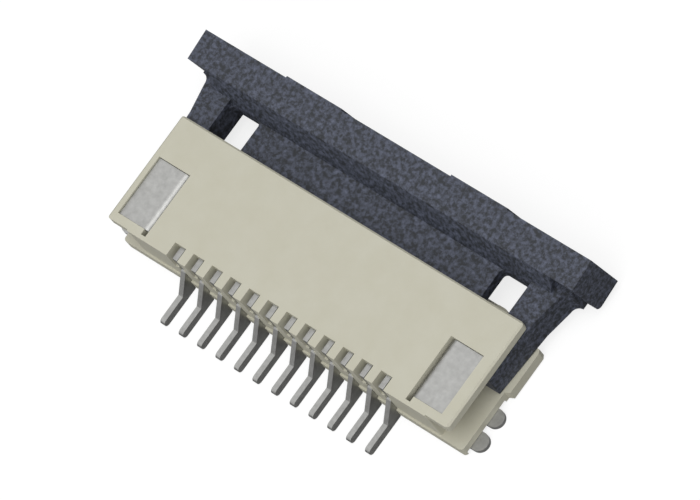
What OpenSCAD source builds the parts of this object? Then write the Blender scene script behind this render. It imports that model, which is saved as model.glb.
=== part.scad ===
// Board connector for a flat flexible cable: 12 contacts in one row, a slide lock that pulls out at the front.
// Millimetres. X runs along the row, +Y toward the cable side, +Z away from the board, Z = 0 on the board.

/* [Row] */
// Distance from one contact to the next
pitch = 1.0; // [0.8:0.05:1.25]
// Thickness of the strip that the contacts are stamped from
contact_t = 0.24; // [0.15:0.01:0.3]

/* [Cable] */
// Bare width beside the first and the last conductor, from the conductor's middle
cable_side = 1.0; // [0.8:0.05:1.3]
// Play of the cable in the mouth, each side
cable_play = 0.1; // [0.05:0.01:0.2]
// Height of the mouth inside, from its floor to its ceiling
mouth_h = 1.1; // [1.0:0.05:1.3]
// How far the cable goes into the mouth
mouth_d = 3.73; // [3.3:0.05:4.1]

/* [Housing] */
// Depth of the roof, rear to front
body_d = 5.13; // [4.8:0.05:5.8]
// Height of the roof above the board
body_h = 2.6; // [2.5:0.05:2.9]
// Width of each end block, from the mouth's side to the end of the roof
end_w = 2.48; // [2.4:0.02:2.8]
// Gap under the housing, for solder and flux
standoff = 0.05; // [0.02:0.01:0.1]
// Thickness of the base plate under the arms
base_t = 0.55; // [0.45:0.05:0.65]
// Height of the mouth's floor above the underside
floor_t = 0.7; // [0.65:0.05:0.8]
// Thickness of the roof over the arms
roof_t = 0.45; // [0.4:0.05:0.5]
// How far the walls beside the mouth stand back from the roof's front edge
cheek_back = 0.3; // [0.25:0.05:0.5]
// Depth and height of the slope along the mouth's upper edge
lead_in = 0.3; // [0.2:0.05:0.35]
// Wall between the mouth and the arm's channel
cheek_w = 1.35; // [1.25:0.05:1.4]
// How far the floor reaches past the roof at the front
sill = 0.42; // [0.2:0.02:0.46]
// How far the side lip stands out past the roof
lip_out = 0.22; // [0.1:0.02:0.3]
// Length of the side lip
lip_l = 2.05; // [1.5:0.05:2.4]
// Where the side lip ends, behind the roof's front edge
lip_back = 0.25; // [0.1:0.05:0.5]
// Edge chamfer along the roof
edge = 0.09; // [0.04:0.01:0.12]
// Radius of the roof's corners
corner_r = 0.16; // [0.08:0.02:0.25]
// Length of the slots in the roof's rear edge
slot_l = 0.63; // [0.5:0.01:0.75]
// Width of those slots
slot_w = 0.59; // [0.45:0.01:0.66]
// Depth of those slots
slot_depth = 1.05; // [0.8:0.05:1.2]

/* [Contact] */
// Length of the tail behind the housing
tail_l = 2.06; // [1.6:0.02:2.4]
// Length of the straight foot of the tail
foot_l = 1.3; // [1.0:0.05:1.4]
// Height of the foot
foot_h = 0.38; // [0.25:0.01:0.42]
// Height at which the tail leaves the rear face
root_h = 1.3; // [1.1:0.05:1.4]
// How far the contact's top lies below the roof's top
top_drop = 0.25; // [0.22:0.01:0.35]
// Radius of the contact point
point_r = 0.22; // [0.15:0.01:0.25]
// How far the contact point stands above the mouth's floor
point_up = 0.2; // [0.12:0.01:0.25]

/* [Slider] */
// Travel from drawn out to locked
travel = 1.55; // [1.3:0.05:1.6]
// Length of the bar, ear to ear
bar_w = 20.4; // [20.0:0.05:21.5]
// Depth of the bar, rear to front
bar_d = 1.37; // [1.1:0.01:1.6]
// Height of the bar
bar_h = 2.66; // [2.4:0.02:2.8]
// Height of the bar's underside at its ears
bar_z = 0.35; // [0.2:0.05:0.45]
// Lean of the bar's section, front edge up
bar_lean = 7; // [0:0.5:9]
// Gap between roof and bar, drawn out, at the bar's rear upper edge
bar_gap = 1.97; // [1.9:0.01:2.4]
// Depth of the sloped band between the bar's top and the tongue
slope_d = 0.48; // [0.3:0.02:0.6]
// Thickness of the tongue
tongue_t = 0.55; // [0.4:0.01:0.6]
// Play between tongue and ceiling
tongue_play = 0.07; // [0.04:0.01:0.1]
// How far the tongue reaches into the mouth, drawn out
tongue_in = 1.33; // [1.1:0.01:1.6]
// Width of the openings between tongue and arms
gap_w = 1.6; // [1.45:0.05:1.7]
// Play of an arm in its channel, each way
arm_play = 0.05; // [0.03:0.01:0.1]
// Height of an arm
arm_h = 1.45; // [1.2:0.05:1.5]
// How far an arm lies in its channel, drawn out
arm_in = 2.56; // [2.3:0.02:2.8]
// Taper of an arm's outer side, front to rear end
arm_taper = 0.2; // [0.1:0.02:0.4]
// How far an arm spreads from the roof's front edge to the bar
arm_flare = 0.24; // [0.1:0.02:0.3]
// Radius where an arm grows out of the bar
arm_r = 0.36; // [0.2:0.02:0.4]
// How far the grip pads stand out of the bar's front
pad_out = 0.07; // [0.03:0.01:0.12]
// Length of a grip pad
pad_l = 2.95; // [2.0:0.05:3.5]
// Inner end of a grip pad, from the middle
pad_x = 2.9; // [2.0:0.05:4.0]
// Bite of the latch nub into the cheek
nub = 0.15; // [0.1:0.01:0.2]
// Length of the latch nub
nub_l = 0.5; // [0.3:0.02:0.6]

/* [Nails] */
// Thickness of the sheet
nail_t = 0.2; // [0.15:0.01:0.25]
// Width of a nail's flat top, along X
nail_w = 1.66; // [1.5:0.02:1.8]
// Length of a nail's flat top, along Y
nail_l = 2.74; // [2.4:0.02:3.0]
// Middle of a nail's top, from the end of the roof
nail_in = 1.28; // [1.2:0.02:1.4]
// How far both nails sit off the middle of the row
nail_skew = 0.13; // [0:0.01:0.15]
// How far a nail's top lies below the roof's top
nail_drop = 0.1; // [0.05:0.01:0.15]
// Bar of housing left behind a nail's window
nail_back = 0.43; // [0.3:0.01:0.5]
// Length of the toes past the end of the base
toe_out = 0.68; // [0.5:0.01:0.9]
// Radius of the toes
toe_r = 0.4; // [0.3:0.02:0.5]

/* [Hidden] */
n = 12;
open_r = 0.2; // front corners of the slider's openings
eps = 0.01;
fit = 0.01; // side play of a contact in its groove
seat = 0.02; // play round a nail
$fn = 48;

mouth_w = (n - 1) * pitch + 2 * cable_side + 2 * cable_play;
body_w = mouth_w + 2 * end_w;
under = standoff;
floor_z = under + floor_t;
ceil_z = floor_z + mouth_h;
base_z = under + base_t;
roof_z = body_h - roof_t;
cheek_x = mouth_w / 2 + cheek_w;
cheek_y = body_d - cheek_back;
stop_y = body_d - mouth_d; // where the cable ends
groove_z = under + 0.15;
groove_top = body_h - top_drop + 0.01;

// slider, drawn out
tongue_top = ceil_z - tongue_play;
tongue_z = tongue_top - tongue_t;
bar_y = body_d + bar_gap;
tongue_y = body_d - tongue_in;
slope_y = bar_y - slope_d;
arm_x0 = cheek_x + arm_play;
tongue_x = arm_x0 - gap_w;
arm_x1 = body_w / 2 + lip_out - 0.12;
arm_x2 = arm_x1 + arm_flare;
arm_z = base_z + arm_play;
arm_top = arm_z + arm_h;
arm_y = body_d - arm_in;
bar_top = bar_z + bar_h * cos(bar_lean);
bar_back = bar_y + bar_h * sin(bar_lean);
bar_front = bar_back + bar_d * cos(bar_lean);
bar_x = bar_w / 2;

// nails
web_in = nail_in + nail_w / 2; // inner side of the web, from the end of the roof
nail_z = body_h - nail_drop;
nail_y0 = nail_back + seat;
nail_y1 = nail_y0 + nail_l;

// the part stands centred on its own box
y_mid = (bar_front + pad_out * cos(bar_lean) - tail_l) / 2;

function contact_x(i) = (i - (n + 1) / 2) * pitch;

module place() {
    translate([0, -y_mid, 0]) children();
}

// a block from one corner to the other
module block(a, b) {
    translate(a) cube(b - a);
}

// a plate outline with round corners
module plate2(x0, x1, y0, y1, r) {
    translate([x0 + r, y0]) square([x1 - x0 - 2 * r, y1 - y0]);
    translate([x0, y0 + r]) square([x1 - x0, y1 - y0 - 2 * r]);
    for (x = [x0 + r, x1 - r], y = [y0 + r, y1 - r]) translate([x, y]) circle(r);
}

// a section in Y and Z, drawn out along X and centred
module along_x(w) {
    translate([-w / 2, 0, 0]) rotate([90, 0, 90]) linear_extrude(w) children();
}

// a section in X and Z, drawn out along Y
module along_y(y0, y1) {
    translate([0, y1, 0]) rotate([90, 0, 0]) linear_extrude(y1 - y0) children();
}

module both_ends() {
    children();
    mirror([1, 0, 0]) children();
}

// ---- housing ----

module roof_chamfers() {
    c = edge;
    hw = body_w / 2;
    both_ends() along_y(-1, body_d + 1)
        polygon([[hw - c, body_h + eps], [hw + eps, body_h - c], [hw + 1, body_h - c], [hw + 1, body_h + eps]]);
    along_x(body_w + 2) polygon([[body_d - c, body_h + eps], [body_d + eps, body_h - c],
        [body_d + 1, body_h - c], [body_d + 1, body_h + eps]]);
}

module end_roof() {
    translate([0, 0, roof_z]) linear_extrude(roof_t)
        plate2(mouth_w / 2, body_w / 2, 0.06, body_d, corner_r);
}

module base() {
    hw = body_w / 2;
    lip_y1 = body_d - lip_back;
    lip_y0 = lip_y1 - lip_l;
    translate([0, 0, under]) linear_extrude(base_t) {
        plate2(-hw, hw, -0.09, lip_y1, corner_r);
        for (s = [-1, 1]) scale([s, 1]) polygon([[hw - 0.5, lip_y0 - 0.1], [hw, lip_y0 - 0.1],
            [hw + lip_out, lip_y0], [hw + lip_out, lip_y1 - 0.15], [hw + lip_out - 0.1, lip_y1], [hw - 0.5, lip_y1]]);
        plate2(-mouth_w / 2 - 0.6, mouth_w / 2 + 0.6, 0, body_d + sill, 0.3);
    }
}

// the room that one contact takes, as a section
module groove2() {
    polygon([[-1, under - eps], [0.3, under - eps], [0.3, groove_z], [body_d - 0.5, groove_z],
        [body_d - 0.5, floor_z + eps], [stop_y + 0.3, floor_z + eps], [stop_y + 0.3, ceil_z - eps],
        [3.3, ceil_z - eps], [3.3, groove_top], [slot_l - eps, groove_top], [slot_l - eps, body_h + 1],
        [-1, body_h + 1]]);
}

module contact_rooms() {
    for (i = [1 : n]) translate([contact_x(i), 0, 0]) {
        along_x(contact_t + 2 * fit) groove2();
        block([-slot_w / 2, -1, body_h - slot_depth], [slot_w / 2, slot_l, body_h + 1]);
    }
}

module mouth() {
    hw = mouth_w / 2;
    block([-hw, stop_y, floor_z], [hw, body_d + 1, ceil_z]);
    // lead-ins of the floor and the cheeks
    along_x(mouth_w) polygon([[body_d + sill - 0.3, floor_z + eps], [body_d + sill + eps, floor_z - 0.25],
        [body_d + sill + 1, floor_z - 0.25], [body_d + sill + 1, floor_z + eps]]);
    both_ends() translate([0, 0, floor_z]) linear_extrude(mouth_h)
        polygon([[hw - eps, cheek_y - 0.25], [hw + 0.2, cheek_y + eps], [hw - eps, cheek_y + eps]]);
    both_ends() block([hw - eps, cheek_y, base_z], [cheek_x + eps, body_d + 1, roof_z]);
    along_x(mouth_w) polygon([[body_d - lead_in, ceil_z - eps], [body_d + eps, ceil_z + lead_in],
        [body_d + eps, ceil_z - eps]]);
}

// the latch nubs run in these
module latch_tracks() {
    z0 = base_z;
    both_ends() block([cheek_x - nub - arm_play, arm_y - travel - 0.06, z0],
        [cheek_x + eps, arm_y + nub_l + 0.03, roof_z]);
}

// room for one nail, as seen on the +X side, its end of the roof at x = 0
module nail_room() {
    xi = -web_in - seat;
    // window
    block([xi, nail_back, nail_z - nail_t - seat], [-nail_in + nail_w / 2 + seat, nail_y1 + seat, body_h + 1]);
    // slit for the web, open at the top behind the window
    block([xi, nail_back - 0.25, under - eps], [xi + nail_t + 2 * seat, nail_y1 + seat, body_h + 1]);
    // foot
    block([xi, 0.05, under - eps], [1, nail_y0 + 2.1, nail_t + seat]);
}

module housing() {
    color([0.78, 0.77, 0.7]) place() difference() {
        union() {
            translate([0, 0, base_z - eps]) linear_extrude(body_h - base_z + eps)
                plate2(-cheek_x, cheek_x, 0, body_d, 0.05);
            both_ends() end_roof();
            base();
        }
        mouth();
        contact_rooms();
        latch_tracks();
        roof_chamfers();
        translate([body_w / 2 - nail_skew, 0, 0]) nail_room();
        translate([-body_w / 2 - nail_skew, 0, 0]) mirror([1, 0, 0]) nail_room();
    }
}

// ---- slider ----

// bar at its ears, as a section: a leaning block with a round lower rear edge
module bar2() {
    translate([bar_back, bar_z]) rotate(bar_lean) difference() {
        square([bar_d, bar_h]);
        difference() {
            translate([-eps, -eps]) square(0.25 + eps);
            translate([0.25, 0.25]) circle(0.25);
        }
    }
}

// grip pad on the bar's front, as a section
module pad2() {
    translate([bar_back, bar_z]) rotate(bar_lean) translate([bar_d - 0.2, 0])
        square([0.2 + pad_out, bar_h]);
}

// plan of one arm, with its latch nub and its root in the bar
module arm2() {
    xe = arm_x1 - arm_taper;
    yb = bar_back + 0.2;
    yr = bar_y - arm_r;
    difference() {
        polygon([[arm_x0, arm_y], [arm_x0 - nub, arm_y + 0.2], [arm_x0 - nub, arm_y + nub_l],
            [arm_x0, arm_y + nub_l], [arm_x0, yb], [arm_x2 + arm_r, yb], [arm_x2 + arm_r, yr],
            [arm_x2, yr], [arm_x1, body_d + 0.35], [xe, arm_y]]);
        translate([arm_x2 + arm_r, yr]) circle(arm_r);
    }
}

// plan of the web round one opening, with round front corners
module web2() {
    difference() {
        translate([tongue_x - 0.3, slope_y - open_r - 0.1]) square([gap_w + 0.9, open_r + 0.4]);
        translate([tongue_x, slope_y - 1]) square([gap_w, 1 - open_r]);
        translate([tongue_x + open_r, slope_y - 1]) square([gap_w - 2 * open_r, 1]);
        for (x = [tongue_x + open_r, arm_x0 - open_r]) translate([x, slope_y - open_r]) circle(open_r);
    }
}

module bar_slope2() {
    polygon([[slope_y, tongue_z], [slope_y, tongue_top], [slope_y + 0.04, tongue_top + 0.12],
        [bar_y - eps, bar_top - eps], [bar_back + 0.3, bar_top - eps], [bar_back + 0.3, tongue_z]]);
}

module tongue2() {
    polygon([[tongue_y, tongue_top - 0.12], [tongue_y + 0.1, tongue_top], [bar_back + 0.3, tongue_top],
        [bar_back + 0.3, tongue_z], [body_d - 0.2, tongue_z], [tongue_y + 0.1, tongue_z + 0.2],
        [tongue_y, tongue_z + 0.28]]);
}

module slider() {
    color([0.25, 0.26, 0.3]) place() difference() {
        union() {
            along_x(bar_w) bar2();
            both_ends() translate([pad_x + pad_l / 2, 0, 0]) along_x(pad_l) pad2();
            along_x(2 * arm_x1 - 0.3) bar_slope2();
            along_x(2 * tongue_x) tongue2();
            both_ends() {
                translate([0, 0, arm_z]) linear_extrude(arm_h) arm2();
                translate([0, 0, tongue_z]) linear_extrude(tongue_t) web2();
            }
        }
        // way of the cable under the bar
        block([-mouth_w / 2, slope_y - 1, -1], [mouth_w / 2, bar_front + 1, tongue_z]);
        both_ends() block([mouth_w / 2 - eps, slope_y - 1, -1], [arm_x0, bar_y + 0.1, tongue_z]);
        // lead-in of that way
        along_x(mouth_w) polygon([[bar_front - 0.45, tongue_z - eps], [bar_front + 0.3, tongue_z + 0.4],
            [bar_front + 0.3, tongue_z - eps]]);
    }
}

// ---- contacts ----

module contact2() {
    z_top = body_h - top_drop;
    zb = groove_z + 0.1; // underside of the beam
    yr = stop_y - 0.15; // where the fork opens
    ya = 3.05; // end of the upper arm
    px = body_d - 1.25; // where the contact point is
    pz = floor_z + point_up - point_r;
    // foot of the tail
    translate([-tail_l + foot_h / 2, 0]) square([foot_l, foot_h]);
    translate([-tail_l + foot_h / 2, foot_h / 2]) circle(foot_h / 2);
    // knee, root, spine, sprung beam and upper arm
    polygon([[-tail_l + foot_l, 0], [-0.12, 0], [0.06, zb], [yr, zb], [px - 0.3, zb + 0.1],
        [px + 0.25, pz - 0.1], [px + 0.42, pz + 0.02], [px + 0.3, pz + 0.1], [px, pz + 0.1],
        [px - 0.4, pz - 0.02], [yr, zb + 0.36], [yr, ceil_z + 0.05], [ya - 0.25, ceil_z + 0.12],
        [ya, ceil_z + 0.16], [ya, z_top], [0.06, z_top], [0.06, root_h + 0.06], [-0.02, root_h],
        [-tail_l + foot_l, foot_h]]);
    // contact point, and the arm's end that backs the tongue
    translate([px, pz]) circle(point_r);
    translate([ya - 0.15, ceil_z + 0.15]) circle(0.11);
}

module contact(i) {
    color([0.75, 0.75, 0.76]) place() translate([contact_x(i), 0, 0]) along_x(contact_t) contact2();
}

// ---- nails ----

// nail on the +X side, its end of the roof at x = 0: flat top, bend, web and foot with two toes
module nail() {
    r = nail_t + 0.1;
    t = nail_t;
    xi = -web_in;
    color([0.76, 0.76, 0.77]) {
        along_y(nail_y0, nail_y1) {
            translate([xi + r, nail_z - t]) square([nail_w - r, t]);
            translate([xi, r]) square([t, nail_z - 2 * r]);
            for (z = [r, nail_z - r]) translate([xi + r, z]) difference() {
                circle(r);
                circle(r - t);
                square([r + 1, 2 * r + 1]);
                translate([0, -r - 1]) square([r + 1, 2 * r + 2]);
                translate([-r - 1, z > r ? -r - 1 : 0]) square([r + 2, r + 1]);
            }
        }
        linear_extrude(t) {
            translate([xi + r, nail_y0]) square([web_in - r - 0.2, 1.9]);
            for (i = [0, 1]) {
                y = nail_y0 + (i == 0 ? toe_r - 0.2 : 2 * toe_r + 0.5);
                out = toe_out - toe_r - i * 0.06;
                translate([-0.3, y - toe_r]) square([0.3 + out, 2 * toe_r]);
                translate([out, y]) circle(toe_r);
            }
        }
    }
}

module fitting_nail_right() {
    place() translate([body_w / 2 - nail_skew, 0, 0]) nail();
}

module fitting_nail_left() {
    place() translate([-body_w / 2 - nail_skew, 0, 0]) mirror([1, 0, 0]) nail();
}

housing();
slider();
contact(1);  // contact_01
contact(2);  // contact_02
contact(3);  // contact_03
contact(4);  // contact_04
contact(5);  // contact_05
contact(6);  // contact_06
contact(7);  // contact_07
contact(8);  // contact_08
contact(9);  // contact_09
contact(10);  // contact_10
contact(11);  // contact_11
contact(12);  // contact_12
fitting_nail_left();
fitting_nail_right();
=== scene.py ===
from math import radians

import bpy
from bpy.props import FloatProperty, FloatVectorProperty, PointerProperty
from mathutils import Matrix, Vector

bl_info = {
    "name": "Flat cable connector",
    "version": (1, 0, 0),
    "blender": (4, 5, 0),
    "location": "3D View > Sidebar > Connector",
    "description": "Dresses the slide lock connector: mouldings, stamped contacts, fitting nails and stage",
    "category": "Object",
}

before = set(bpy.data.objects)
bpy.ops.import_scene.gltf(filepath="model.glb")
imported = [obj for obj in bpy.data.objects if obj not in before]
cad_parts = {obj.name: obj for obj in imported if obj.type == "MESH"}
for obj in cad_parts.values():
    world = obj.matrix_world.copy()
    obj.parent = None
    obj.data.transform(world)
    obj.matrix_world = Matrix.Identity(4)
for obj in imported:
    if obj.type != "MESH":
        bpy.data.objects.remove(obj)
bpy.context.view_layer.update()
MM = 0.001
CONTACTS = [f"contact_{i:02d}" for i in range(1, 13)]
NAILS = ["fitting_nail_left", "fitting_nail_right"]

# grains of each pattern in a metre, from the number in a millimetre
IVORY_CLOUDS = 0.9 / MM
IVORY_GRAIN = 14 / MM
FIBRE_CLUMPS = 5.2 / MM  # the real fibres are finer; this is as coarse as they need to show
TIN_FROST = 5 / MM

# floor, lamps and camera, in metres and degrees
FLOOR_RADIUS = 1.5
FLOOR_DROP = 0.02 * MM  # keeps the floor clear of the solder feet
LAMP_HEIGHT = 0.3
CAMERA_PLACE = (0.15077515, -0.03997334, 0.25323414)
CAMERA_BACK = (0.50840168, -0.13762987, 0.85005044)
CAMERA_RIGHT = (0.73445493, 0.5846564, -0.34460535)


def srgb(code, alpha=True):
    """Linear colour of an sRGB hex value such as "c1beaf"."""
    out = []
    for i in (0, 2, 4):
        c = int(code[i:i + 2], 16) / 255
        out.append(c / 12.92 if c <= 0.04045 else ((c + 0.055) / 1.055) ** 2.4)
    return tuple(out) + ((1.0,) if alpha else ())


def colour_prop(name, description, code):
    return FloatVectorProperty(name=name, description=description, subtype="COLOR", size=3,
                               min=0.0, max=1.0, default=srgb(code, False))


# ---- settings -------------------------------------------------------------

class MouldingSettings(bpy.types.PropertyGroup):
    """Colours of the two plastic mouldings."""
    ivory: colour_prop("Ivory", "Colour of the housing's resin", "c4c2b3")
    ivory_shade: colour_prop("Ivory shade", "Cloudy patches in the housing's resin", "bab7a4")
    black: colour_prop("Black", "Colour of the slider's resin", "1e2126")
    fibre: colour_prop("Fibre", "Colour of the glass fibres at the slider's surface", "6a7084")


class MetalSettings(bpy.types.PropertyGroup):
    """Colours of the tin plated parts."""
    tin: colour_prop("Tin", "Colour of the plating", "b4b4b2")
    tin_dark: colour_prop("Tin, dull", "Colour of the plating where it is dull", "8f8f8d")


class StageSettings(bpy.types.PropertyGroup):
    """Camera, light and floor."""
    lens: FloatProperty(name="Lens", description="Focal length in millimetres", default=389.1,
                        min=50, max=800)
    paper: colour_prop("Paper", "Colour of the floor, where shadows fall on it", "8c8c8c")
    glow: FloatProperty(name="Glow", description="How white the camera sees the floor, over its paper",
                        default=0.78, min=0, max=1)
    key: FloatProperty(name="Key light", description="Strength of the main lamp", default=1.35, min=0, max=10)
    sky: FloatProperty(name="Sky", description="Light from all round", default=0.42, min=0, max=2)


# ---- helpers --------------------------------------------------------------

def add_node(tree, kind, sockets=None, **settings):
    """Adds a node, sets its properties, and links or sets its input sockets."""
    node = tree.nodes.new(kind)
    for key, value in settings.items():
        setattr(node, key, value)
    for key, value in (sockets or {}).items():
        if isinstance(value, bpy.types.NodeSocket):
            tree.links.new(value, node.inputs[key])
        else:
            node.inputs[key].default_value = value
    return node


def new_material(name):
    mat = bpy.data.materials.new(name)
    mat.use_nodes = True
    tree = mat.node_tree
    tree.nodes.clear()
    return mat, tree


def deselect():
    bpy.ops.object.select_all(action="DESELECT")


def dress(obj, mat):
    obj.data.materials.clear()
    obj.data.materials.append(mat)


# ---- materials ------------------------------------------------------------

def ivory_resin(props):
    """Heat resistant nylon, moulded: a satin skin with faint cloudy patches and a fine grain."""
    mat, t = new_material("ivory_nylon_moulded")
    place = add_node(t, "ShaderNodeTexCoord").outputs["Object"]
    cloud = add_node(t, "ShaderNodeTexNoise",
                     {"Vector": place, "Scale": IVORY_CLOUDS, "Detail": 4.0, "Roughness": 0.6})
    tint = add_node(t, "ShaderNodeMix",
                    {"Factor": cloud.outputs["Fac"], "A": (*props.ivory, 1), "B": (*props.ivory_shade, 1)},
                    data_type="RGBA")
    grain = add_node(t, "ShaderNodeTexNoise", {"Vector": place, "Scale": IVORY_GRAIN, "Detail": 2.0})
    bump = add_node(t, "ShaderNodeBump",
                    {"Height": grain.outputs["Fac"], "Strength": 0.25, "Distance": 0.004 * MM})
    skin = add_node(t, "ShaderNodeBsdfPrincipled",
                    {"Base Color": tint.outputs["Result"], "Normal": bump.outputs["Normal"],
                     "Roughness": 0.5, "IOR": 1.53})
    add_node(t, "ShaderNodeOutputMaterial", {"Surface": skin.outputs["BSDF"]})
    return mat


def black_resin(props):
    """Glass filled polymer, moulded: dark skin with pale fibres lying at the surface."""
    mat, t = new_material("black_glass_filled_moulded")
    place = add_node(t, "ShaderNodeTexCoord").outputs["Object"]
    cloud = add_node(t, "ShaderNodeTexNoise",
                     {"Vector": place, "Scale": FIBRE_CLUMPS, "Detail": 7.0, "Roughness": 0.7})
    ramp = add_node(t, "ShaderNodeValToRGB", {"Fac": cloud.outputs["Fac"]})
    stops = ((0.42, props.black), (0.8, props.fibre))
    for element, (position, colour) in zip(ramp.color_ramp.elements, stops):
        element.position = position
        element.color = (*colour, 1)
    bump = add_node(t, "ShaderNodeBump",
                    {"Height": cloud.outputs["Fac"], "Strength": 0.4, "Distance": 0.01 * MM})
    skin = add_node(t, "ShaderNodeBsdfPrincipled",
                    {"Base Color": ramp.outputs["Color"], "Normal": bump.outputs["Normal"],
                     "Roughness": 0.62, "IOR": 1.45})
    add_node(t, "ShaderNodeOutputMaterial", {"Surface": skin.outputs["BSDF"]})
    return mat


def tin_plate(props, name, roughness):
    """Matt tin on copper alloy: grey metal with a fine frosted grain."""
    mat, t = new_material(name)
    place = add_node(t, "ShaderNodeTexCoord").outputs["Object"]
    frost = add_node(t, "ShaderNodeTexNoise", {"Vector": place, "Scale": TIN_FROST, "Detail": 5.0})
    tint = add_node(t, "ShaderNodeMix",
                    {"Factor": frost.outputs["Fac"], "A": (*props.tin_dark, 1), "B": (*props.tin, 1)},
                    data_type="RGBA")
    bump = add_node(t, "ShaderNodeBump",
                    {"Height": frost.outputs["Fac"], "Strength": 0.3, "Distance": 0.006 * MM})
    skin = add_node(t, "ShaderNodeBsdfPrincipled",
                    {"Base Color": tint.outputs["Result"], "Normal": bump.outputs["Normal"],
                     "Metallic": 1.0, "Roughness": roughness})
    add_node(t, "ShaderNodeOutputMaterial", {"Surface": skin.outputs["BSDF"]})
    return mat


# ---- operators ------------------------------------------------------------

class CONNECTOR_OT_housing(bpy.types.Operator):
    """Gives the housing its ivory resin"""
    bl_idname = "connector.housing"
    bl_label = "Housing"

    def execute(self, context):
        dress(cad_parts["housing"], ivory_resin(context.scene.connector_mouldings))
        return {"FINISHED"}


class CONNECTOR_OT_slider(bpy.types.Operator):
    """Gives the slide lock its dark glass filled resin"""
    bl_idname = "connector.slider"
    bl_label = "Slide lock"

    def execute(self, context):
        dress(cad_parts["slider"], black_resin(context.scene.connector_mouldings))
        return {"FINISHED"}


class CONNECTOR_OT_metal(bpy.types.Operator):
    """Plates the contacts and the fitting nails"""
    bl_idname = "connector.metal"
    bl_label = "Contacts and nails"

    def execute(self, context):
        props = context.scene.connector_metal
        strip = tin_plate(props, "tin_plated_contact_strip", 0.35)
        for name in CONTACTS:
            dress(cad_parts[name], strip)
        sheet = tin_plate(props, "matt_tin_nail_sheet", 0.5)
        for name in NAILS:
            dress(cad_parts[name], sheet)
        return {"FINISHED"}


def paper_floor(props):
    """Matt white paper: the camera sees it white, and it keeps the connector's faint shadow."""
    mat, t = new_material("white_paper_sweep")
    path = add_node(t, "ShaderNodeLightPath")
    paper = add_node(t, "ShaderNodeBsdfDiffuse", {"Color": (*props.paper, 1)})
    glow = add_node(t, "ShaderNodeEmission", {"Color": (1, 1, 1, 1), "Strength": props.glow})
    none = add_node(t, "ShaderNodeEmission", {"Color": (0, 0, 0, 1), "Strength": 0.0})
    seen = add_node(t, "ShaderNodeMixShader",
                    {0: path.outputs["Is Camera Ray"], 1: none.outputs[0], 2: glow.outputs[0]})
    both = add_node(t, "ShaderNodeAddShader", {0: paper.outputs[0], 1: seen.outputs[0]})
    add_node(t, "ShaderNodeOutputMaterial", {"Surface": both.outputs[0]})
    return mat


def white_room(props):
    """Soft light from all round, seen as plain white by the camera and in the metal."""
    world = bpy.data.worlds.new("white_room")
    world.use_nodes = True
    t = world.node_tree
    t.nodes.clear()
    path = add_node(t, "ShaderNodeLightPath")
    seen = add_node(t, "ShaderNodeMath", {0: path.outputs["Is Camera Ray"], 1: path.outputs["Is Glossy Ray"]},
                    operation="MAXIMUM")
    seen = add_node(t, "ShaderNodeMath", {0: seen.outputs[0], 1: path.outputs["Is Transmission Ray"]},
                    operation="MAXIMUM")
    light = add_node(t, "ShaderNodeBackground", {"Color": (1, 1, 1, 1), "Strength": props.sky})
    white = add_node(t, "ShaderNodeBackground", {"Color": (1, 1, 1, 1), "Strength": 1.0})
    both = add_node(t, "ShaderNodeMixShader", {0: seen.outputs[0], 1: light.outputs[0], 2: white.outputs[0]})
    add_node(t, "ShaderNodeOutputWorld", {"Surface": both.outputs[0]})
    return world


class CONNECTOR_OT_stage(bpy.types.Operator):
    """Sets the pale floor, the soft lamps and the camera"""
    bl_idname = "connector.stage"
    bl_label = "Stage"

    def execute(self, context):
        props = context.scene.connector_stage
        deselect()
        bpy.ops.mesh.primitive_circle_add(vertices=96, radius=FLOOR_RADIUS, fill_type="NGON",
                                          location=(0, 0, -FLOOR_DROP))
        floor = context.object
        floor.name = "floor"
        bpy.ops.object.transform_apply(location=True, rotation=True, scale=True)
        dress(floor, paper_floor(props))
        context.scene.world = white_room(props)

        # name, turn and spread in degrees, strength
        lamps = (("key_lamp", (5, 12, 0), 50, props.key), ("fill_lamp", (45, 30, 0), 60, 0.6 * props.key))
        for name, turn, spread, strength in lamps:
            bpy.ops.object.light_add(type="SUN", rotation=[radians(a) for a in turn],
                                     location=(0, 0, LAMP_HEIGHT))
            lamp = context.object
            lamp.name = name
            lamp.data.energy = strength
            lamp.data.angle = radians(spread)

        bpy.ops.object.camera_add()
        camera = context.object
        camera.name = "camera"
        back, right = Vector(CAMERA_BACK), Vector(CAMERA_RIGHT)
        turn = Matrix((right, back.cross(right), back)).transposed().to_4x4()
        camera.matrix_world = Matrix.Translation(CAMERA_PLACE) @ turn
        camera.data.lens = props.lens
        camera.data.sensor_width = 36.0
        camera.data.clip_start = 0.01
        camera.data.clip_end = 10.0
        context.scene.camera = camera
        context.scene.view_settings.view_transform = "Standard"
        return {"FINISHED"}


class CONNECTOR_PT_panel(bpy.types.Panel):
    """Lists the connector's makers and their settings"""
    bl_idname = "CONNECTOR_PT_panel"
    bl_label = "Connector"
    bl_space_type = "VIEW_3D"
    bl_region_type = "UI"
    bl_category = "Connector"

    def draw(self, context):
        for group in GROUPS:
            props = getattr(context.scene, group)
            box = self.layout.box()
            for key in props.__annotations__:
                box.prop(props, key)
        for op in OPERATORS:
            self.layout.operator(op.bl_idname)


OPERATORS = (CONNECTOR_OT_stage, CONNECTOR_OT_housing, CONNECTOR_OT_slider, CONNECTOR_OT_metal)
GROUPS = {"connector_mouldings": MouldingSettings, "connector_metal": MetalSettings,
          "connector_stage": StageSettings}


def register():
    for cls in (*GROUPS.values(), *OPERATORS, CONNECTOR_PT_panel):
        bpy.utils.register_class(cls)
    for name, cls in GROUPS.items():
        setattr(bpy.types.Scene, name, PointerProperty(type=cls))


def unregister():
    for name in GROUPS:
        delattr(bpy.types.Scene, name)
    for cls in reversed((*GROUPS.values(), *OPERATORS, CONNECTOR_PT_panel)):
        bpy.utils.unregister_class(cls)


def main():
    register()
    bpy.ops.connector.stage()
    bpy.ops.connector.housing()
    bpy.ops.connector.slider()
    bpy.ops.connector.metal()


if __name__ == "__main__":
    main()
